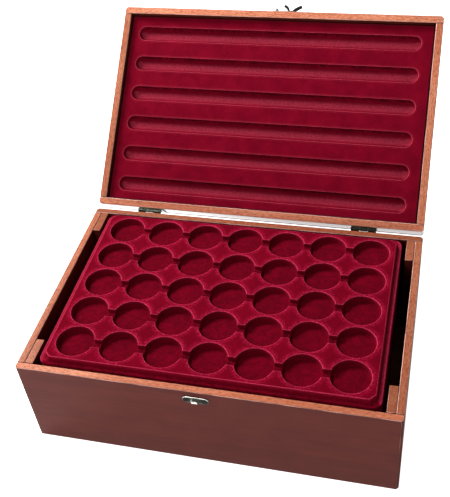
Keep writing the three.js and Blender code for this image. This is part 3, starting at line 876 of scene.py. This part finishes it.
# How pale each board's rim is painted: below 1 is painted shade, as on the back wall where the lid keeps
# light off, and above 1 is painted light
rim_light_and_shade = {
    "front_wall": 1.0,
    "back_wall": 0.56,
    "left_wall": 0.84,
    "right_wall": 0.7,
    "bottom_panel": 0.5,
    "corner_block_front_left": 0.7,
    "corner_block_front_right": 0.6,
    "corner_block_rear_left": 0.6,
    "corner_block_rear_right": 0.66,
    "lid_front_rail": 1.2,
    "lid_back_rail": 1.05,
    "lid_left_rail": 0.84,
    "lid_right_rail": 1.05,
    "lid_panel": 0.8,
}
PLAIN_LACQUER = 0.02
lacquers = {"lid_back_rail": 1.0, "lid_panel": 0.15}
for seed, (node, (grain, corners)) in enumerate(case_boards.items(), 1):
    low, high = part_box(node)
    mesh = board_mesh(node + "_board", low, high, corners)
    material = wood(node + "_wood", grain, seed, CASE_RIM, rim_light_and_shade[node], PLAIN_LACQUER)
    piece(node + "_board", mesh, material, "case", [node])
for seed, (node, (grain, corners)) in enumerate(lid_boards.items(), 20):
    low, high = closed_box(node)
    mesh = board_mesh(node + "_board", low, high, corners)
    lacquer = lacquers.get(node, PLAIN_LACQUER)
    material = wood(node + "_wood", grain, seed, LID_RIM, rim_light_and_shade[node], lacquer)
    piece(node + "_board", mesh, material, "lid", [node], lid_open)

grid_pitch = [p * MM for p in RECESS_PITCH]
grid_last = ((COLUMNS - 1) / 2, (ROWS - 1) / 2)
grid = (grid_pitch, grid_last, RECESS_RADIUS * MM, TRAY_HEIGHT * MM)
# Colours: low, high, painted edge sheen, combed, painted shade for deep places
tray_bytes = [(103, 0, 21), (117, 0, 25), (222, 60, 96), (206, 34, 76), (54, 0, 8)]
tray_flock = flock("tray_flock", *[colour(*c) for c in tray_bytes], grid)
lid_bytes = [(110, 2, 26), (128, 6, 32), (206, 70, 94), (186, 46, 76), (56, 0, 9)]
lid_flock = flock("lid_flock", *[colour(*c) for c in lid_bytes])
top_tray = coin_tray_mesh("coin_tray_top", 56, 4)
lower_tray = coin_tray_mesh("coin_tray_lower", 28, 2)
for level in range(1, TRAY_COUNT + 1):
    node = f"coin_tray_{level:02d}"
    low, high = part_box(node)
    place = Matrix.Translation(((low.x + high.x) / 2, (low.y + high.y) / 2, low.z))
    mesh = top_tray if level == TRAY_COUNT else lower_tray
    piece(f"flocked_tray_{level:02d}", mesh, tray_flock, f"tray_{level:02d}", [node], place)

low, high = closed_box("lid_insert")
insert_half = ((high.x - low.x) / 2 / MM - INSERT_GAP, (high.y - low.y) / 2 / MM - INSERT_GAP)
insert = insert_mesh("grooved_insert", insert_half)
face_down = Matrix.Rotation(math.pi, 4, "X")
insert_place = lid_open @ Matrix.Translation((0, 0, INSERT_FACE_Z * MM)) @ face_down
piece("grooved_insert", insert, lid_flock, "lid", ["lid_insert"], insert_place)

nickel = metal("aged_nickel", colour(88, 94, 82), colour(20, 24, 18), 0.14)
# Painted highlight: the catch tab is near white, where bright metal would glint
bright = metal("white_highlight_nickel", colour(248, 246, 240), colour(196, 196, 186), 0.2, None, 0.5)
# Painted shade: the rivet's right half is black, the side away from the light
shaded_right_half = ((1, 0, 0), 0.0002)
polished = metal("polished_metal", colour(150, 146, 142), colour(60, 58, 56), 0.1, shaded_right_half)
# Painted reflection and shade: the hook is near white, where polished metal would mirror the bright room,
# and black past the bend
shaded_past_bend = ((1, -1, 0), 0.0147)
hook_metal = metal("hook_metal", colour(250, 249, 246), colour(226, 225, 220), 0.3, shaded_past_bend, 0.3)
dark = metal("blackened_metal", colour(60, 56, 52), colour(28, 26, 24), 0.3)
screws = metal("screw_metal", colour(38, 36, 32), colour(12, 11, 10), 0.3)
plate = relief_plate_mesh("fixing_plate", (-PLATE_SCREW_X, PLATE_SCREW_X))
low_head = slotted_screw_mesh("flush_screw", FLUSH_HEAD)
high_head = slotted_screw_mesh("hinge_screw", HINGE_HEAD)


def on_front(x, out, z, turn=0.0):
    """The place of a part on the front face in closed coordinates, turned about the face's normal."""
    return Matrix.Translation(Vector((x, FRONT_Y - out, z)) * MM) @ Matrix.Rotation(turn, 4, "Y")


def with_material(mesh, material):
    mesh = mesh.copy()
    mesh.materials.append(material)
    return mesh


on_catch = on_front(LATCH_X, 0, CATCH_Z)
on_tab = on_front(LATCH_X, 0, CATCH_TAB_Z)
on_pivot = lid_open @ on_front(LATCH_X, 0, LATCH_Z)
fixings = [
    ("catch_plate", plate, nickel, "case", "aged_metal", on_catch),
    ("catch_tab", catch_mesh("catch_tab_strip"), bright, "case", "aged_metal", on_tab),
    ("latch_plate", plate, dark, "lid", "aged_metal", on_pivot),
    ("latch_rivet", rivet_mesh("rivet"), polished, "lid", "aged_metal", on_pivot),
    ("latch_hook", hook_mesh("hook"), hook_metal, "latch", "aged_metal", on_pivot),
]
screw_seat = PLATE_THICK - 0.38
for word, side, catch_turn, latch_turn in (("left", -1, 0.5, 1.2), ("right", 1, 2.3, 0.2)):
    x = LATCH_X + side * PLATE_SCREW_X
    place = on_front(x, screw_seat, CATCH_Z, catch_turn)
    fixings.append((f"catch_screw_{word}", low_head, screws, "case", "screw_metal", place))
    place = lid_open @ on_front(x, screw_seat, LATCH_Z, latch_turn)
    fixings.append((f"latch_screw_{word}", low_head, dark, "lid", "screw_metal", place))
for node, mesh, material, body, slot, place in fixings:
    piece(node + "_fitting", with_material(mesh, material), material, body, [node], place)

turn_back = Matrix.Rotation(math.pi, 4, "Z")
hinge_screws = sorted(name for name in frame["nodes"] if name.startswith("hinge_screw"))
for number, node in enumerate(hinge_screws):
    on_lid = "_lid_" in node
    low, high = closed_box(node) if on_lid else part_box(node)
    seat = Vector(((low.x + high.x) / 2, high.y - HINGE_HEAD * MM, (low.z + high.z) / 2))
    place = Matrix.Translation(seat) @ turn_back @ Matrix.Rotation(0.9 * number, 4, "Y")
    if on_lid:
        place = lid_open @ place
    body = "lid" if on_lid else "case"
    piece(node + "_head", with_material(high_head, screws), screws, body, [node], place)

# The hinge leaves and pins stay CAD meshes, with eased edges
for node in frame["nodes"].values():
    if node.hide_render:
        continue
    node.data.materials.clear()
    node.data.materials.append(nickel)
    weld = node.modifiers.new("weld", "WELD")
    weld.merge_threshold = 1e-6
    ease = node.modifiers.new("eased_edges", "BEVEL")
    ease.width = 0.00012
    ease.segments = 2
    ease.limit_method = "ANGLE"
    ease.angle_limit = math.radians(35)
    even = node.modifiers.new("even_shading", "WEIGHTED_NORMAL")
    even.mode = "FACE_AREA"

# ---------------------------------------------------------------------------------------------
# Floor, light and camera
# ---------------------------------------------------------------------------------------------
FLOOR_REACH = 40.0
FILL_STRENGTH = 0.24
floor_corners = [(x * FLOOR_REACH, y * FLOOR_REACH, 0) for x, y in ((-1, -1), (1, -1), (1, 1), (-1, 1))]
floor_mesh = bpy.data.meshes.new("floor")
floor_mesh.from_pydata(floor_corners, [], [(0, 1, 2, 3)])
floor = bpy.data.objects.new("floor", floor_mesh)
scene.collection.objects.link(floor)
paper = Nodes("floor_paper")
paper.set(Base_Color=(0.93, 0.93, 0.93, 1), Roughness=0.9, Specular_IOR_Level=0.1)
paper.set(Emission_Color=(1, 1, 1, 1), Emission_Strength=1.0)
floor_mesh.materials.append(paper.material)

# A weak white fill light all round; to the camera itself the background is plain white
world = bpy.data.worlds.new("studio")
world.use_nodes = True
tree = world.node_tree
fill = tree.nodes["Background"]
fill.inputs["Color"].default_value = (1, 1, 1, 1)
fill.inputs["Strength"].default_value = FILL_STRENGTH
backdrop = tree.nodes.new("ShaderNodeBackground")
backdrop.inputs["Color"].default_value = (1, 1, 1, 1)
ray = tree.nodes.new("ShaderNodeLightPath")
either = tree.nodes.new("ShaderNodeMixShader")
tree.links.new(ray.outputs["Is Camera Ray"], either.inputs[0])
tree.links.new(fill.outputs[0], either.inputs[1])
tree.links.new(backdrop.outputs[0], either.inputs[2])
tree.links.new(either.outputs[0], tree.nodes["World Output"].inputs["Surface"])
scene.world = world


def softbox(name, place, target, size, watts):
    """A square area light that faces a target."""
    light = bpy.data.lights.new(name, "AREA")
    light.shape = "SQUARE"
    light.size = size
    light.energy = watts
    obj = bpy.data.objects.new(name, light)
    scene.collection.objects.link(obj)
    obj.location = place
    obj.rotation_euler = (Vector(target) - Vector(place)).to_track_quat("-Z", "Y").to_euler()


middle = (0, 0, 0.08)
softbox("key_softbox", (-0.9, 0.55, 1.15), middle, 0.5, 30)
softbox("front_softbox", (-0.6, -1.1, 1.15), middle, 0.5, 8)

camera_data = bpy.data.cameras.new("camera")
camera_data.lens = 61.768
camera_data.shift_x = 0.00992
camera_data.shift_y = -0.01551
camera_data.clip_start, camera_data.clip_end = 0.01, 20
camera = bpy.data.objects.new("camera", camera_data)
camera.location = (0.16675, -0.50113, 0.64305)
camera.rotation_euler = [math.radians(a) for a in (47.6818, 5.3190, 13.6686)]
scene.collection.objects.link(camera)
scene.camera = camera
scene.view_settings.view_transform = "Standard"
